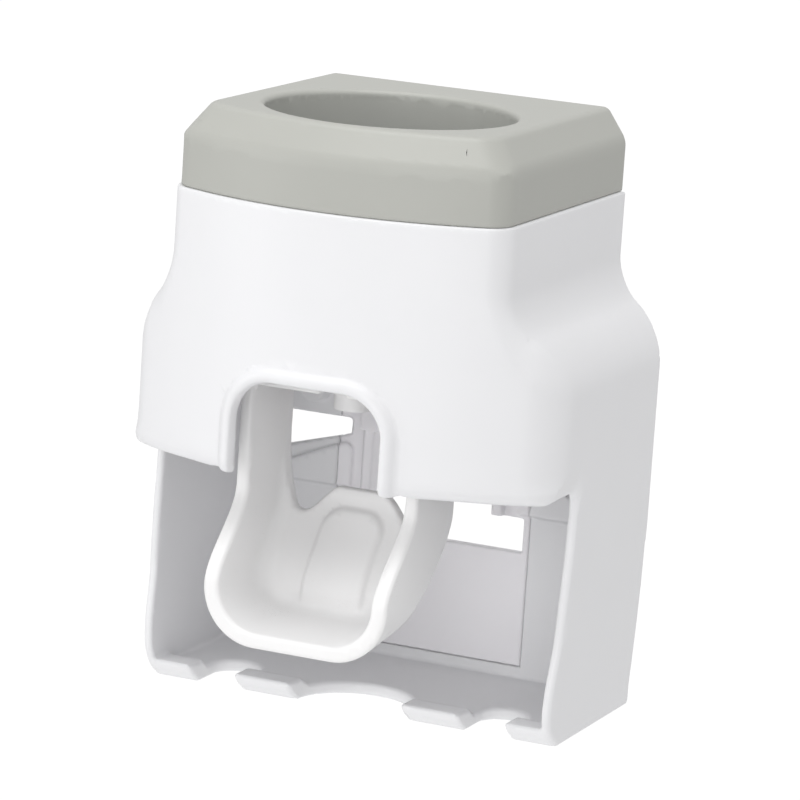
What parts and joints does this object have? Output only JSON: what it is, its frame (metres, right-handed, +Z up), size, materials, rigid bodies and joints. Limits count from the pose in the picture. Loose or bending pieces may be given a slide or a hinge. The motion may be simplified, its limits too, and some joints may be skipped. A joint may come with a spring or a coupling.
{
  "type": "toothpaste dispenser",
  "caption": "Wall-hung toothpaste dispenser: a tube stands in the hole on top, a hinged lever works a small pump, and a slotted tray under the hood holds brushes.",
  "frame": {"origin": "centre of the sticky pad's face on the wall", "axes": "+X to the right seen from the front, +Y into the wall, +Z up"},
  "size_m": [0.105, 0.0836, 0.14],
  "materials": {
    "white_shell": "satin gloss, moulded",
    "white_lever": "satin gloss, moulded",
    "white_back": "satin, moulded",
    "white_inner": "moulded",
    "grey_collar": "fine satin, warm grey",
    "silicone": "translucent, soft",
    "steel": "bright",
    "foam": "foam tape"
  },
  "bodies": {
    "wall": {"wall_plate": "white_inner", "adhesive_pad": "foam"},
    "unit": {"hood_front": "white_shell", "hood_sides": "white_shell", "back_frame": "white_shell", "side_walls": "white_shell", "tray": "white_shell", "back_plate": "white_back", "back_screws": "steel", "pump_body": "white_inner", "pump_rear_cap": "white_inner", "cap_seal": "silicone", "pump_screws": "steel", "inlet_valve": "silicone", "return_spring": "steel", "pivot_pins": "steel", "pin_clips": "steel"},
    "collar": {"top_collar": "grey_collar"},
    "seat": {"tube_seat": "silicone"},
    "lever": {"push_lever": "white_lever", "pivot_bushes": "white_inner"},
    "plunger": {"piston": "white_inner", "piston_seal": "silicone", "spout": "white_inner", "outlet_valve": "silicone"}
  },
  "joints": [
    {"name": "unit_lift", "type": "slide", "parent": "wall", "child": "unit", "axis": [0, 0, 1], "range_m": [0, 0.0285]},
    {"name": "collar_lift", "type": "slide", "parent": "unit", "child": "collar", "axis": [0, 0, 1], "range_m": [0, 0.03]},
    {"name": "seat_lift", "type": "slide", "parent": "unit", "child": "seat", "axis": [0, 0, 1], "range_m": [0, 0.02]},
    {"name": "lever_hinge", "type": "hinge", "parent": "unit", "child": "lever", "pos_m": [0, -0.0565, 0.019], "axis": [1, 0, 0], "range_deg": [0, 16], "stiffness_Nm_per_rad": 0.6, "springref_deg": -5.73},
    {"name": "plunger_slide", "type": "slide", "parent": "unit", "child": "plunger", "axis": [0, 1, 0], "range_m": [0, 0.00385], "deforming": ["return_spring"]}
  ],
  "couplings": [
    {"joint": "plunger_slide", "follows": "lever_hinge", "m_per_rad": 0.0137}
  ]
}
